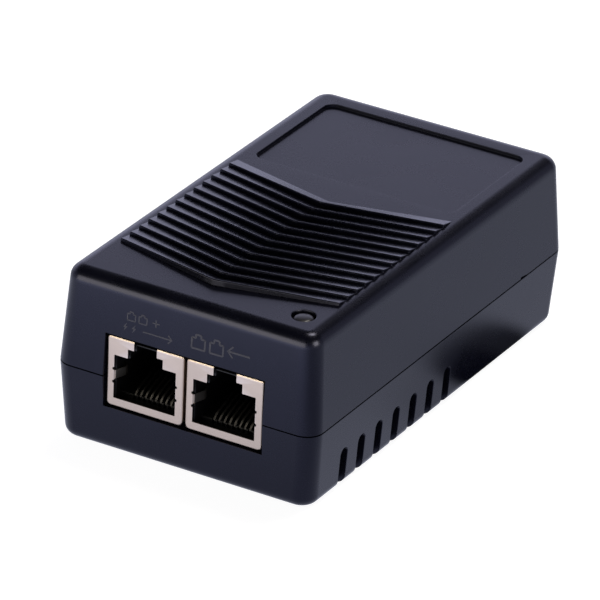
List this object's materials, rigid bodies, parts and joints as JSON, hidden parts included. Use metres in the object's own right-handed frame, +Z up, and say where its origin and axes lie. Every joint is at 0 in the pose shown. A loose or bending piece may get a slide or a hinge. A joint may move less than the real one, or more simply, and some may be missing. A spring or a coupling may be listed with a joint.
{
  "type": "poe injector",
  "caption": "Small two-part plastic power supply with raised chevron ribs on top, two shielded RJ45 jacks in one end and a mains inlet in the other.",
  "frame": {"origin": "centre of the underside of the whole object", "axes": "+Z up, +Y from the two jacks towards the mains inlet, +X to the right as seen from the jacks"},
  "size_m": [0.052, 0.0902, 0.034],
  "materials": {
    "case_plastic": "semi-gloss moulded ABS with a very fine texture",
    "light_pipe": "clear polycarbonate, slightly frosted",
    "nickel": "bright nickel plate on thin sheet",
    "black_plastic": "moulded glass-filled plastic",
    "gold": "gold flash on spring bronze",
    "brass": "plated blades",
    "board_green": "solder mask on fibreglass",
    "fibre_paper": "fish paper",
    "steel": "zinc plated",
    "fuse_ceramic": "fired ceramic tube",
    "ceramic_blue": "dipped lacquer",
    "capacitor_yellow": "moulded box",
    "ferrite": "sintered ferrite",
    "copper": "enamelled copper wire",
    "yellow_tape": "polyester tape",
    "epoxy_black": "moulded epoxy",
    "capacitor_sleeve": "shrunk sleeve",
    "aluminium": "bare plate",
    "led_white": "moulded body"
  },
  "bodies": {
    "root": {"top_cover": "case_plastic", "bottom_cover": "case_plastic", "status_light_pipe": "light_pipe", "jack_shield_out": "nickel", "jack_shield_in": "nickel", "jack_housing_out": "black_plastic", "jack_housing_in": "black_plastic", "inlet_housing": "black_plastic", "contact_out_1": "gold", "contact_out_2": "gold", "contact_out_3": "gold", "contact_out_4": "gold", "contact_out_5": "gold", "contact_out_6": "gold", "contact_out_7": "gold", "contact_out_8": "gold", "contact_in_1": "gold", "contact_in_2": "gold", "contact_in_3": "gold", "contact_in_4": "gold", "contact_in_5": "gold", "contact_in_6": "gold", "contact_in_7": "gold", "contact_in_8": "gold", "inlet_pin_line": "brass", "inlet_pin_neutral": "brass", "inlet_pin_earth": "brass", "circuit_board": "board_green", "insulating_sheet": "fibre_paper", "case_screw_1": "steel", "case_screw_2": "steel", "case_screw_3": "steel", "case_screw_4": "steel", "fuse": "fuse_ceramic", "varistor": "ceramic_blue", "y_capacitor": "ceramic_blue", "x_capacitor": "capacitor_yellow", "choke_core": "ferrite", "transformer_core": "ferrite", "output_inductor": "ferrite", "choke_coil_1": "copper", "choke_coil_2": "copper", "transformer_winding": "yellow_tape", "bridge_rectifier": "epoxy_black", "switching_transistor": "epoxy_black", "controller_chip": "epoxy_black", "output_diode": "epoxy_black", "optocoupler": "epoxy_black", "data_magnetics": "epoxy_black", "bulk_capacitor": "capacitor_sleeve", "output_capacitor_1": "capacitor_sleeve", "output_capacitor_2": "capacitor_sleeve", "primary_heatsink": "aluminium", "secondary_heatsink": "aluminium", "status_led": "led_white"}
  },
  "joints": []
}
